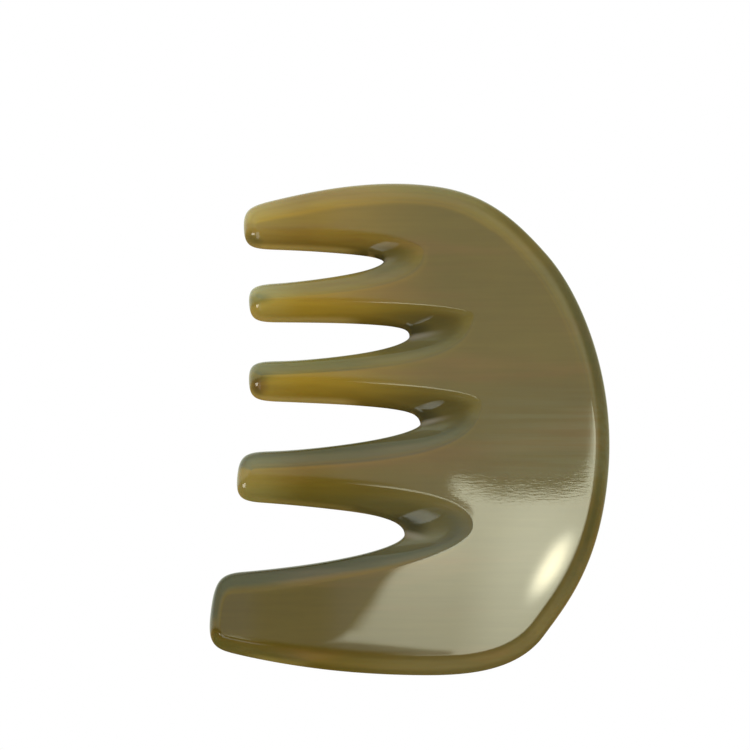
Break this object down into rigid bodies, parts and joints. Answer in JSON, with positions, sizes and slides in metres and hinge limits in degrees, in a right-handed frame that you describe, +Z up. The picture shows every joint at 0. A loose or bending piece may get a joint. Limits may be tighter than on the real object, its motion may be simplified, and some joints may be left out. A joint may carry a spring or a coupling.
{
  "type": "scalp massage comb",
  "caption": "One-piece polished horn comb for massaging the scalp: a round back with a row of thick, blunt teeth and a hollow dish at the root of each gap.",
  "frame": {"origin": "middle of the outline's box, on the surface that the comb lies on", "axes": "+X from the tips of the teeth to the round back, +Y along the row from the wide end tooth to the other end tooth, +Z up, out of the upper flat face"},
  "size_m": [0.0798, 0.1012, 0.009],
  "materials": {
    "horn": "polished horn, olive brown and slightly translucent"
  },
  "bodies": {
    "root": {"comb": "horn"}
  },
  "joints": []
}
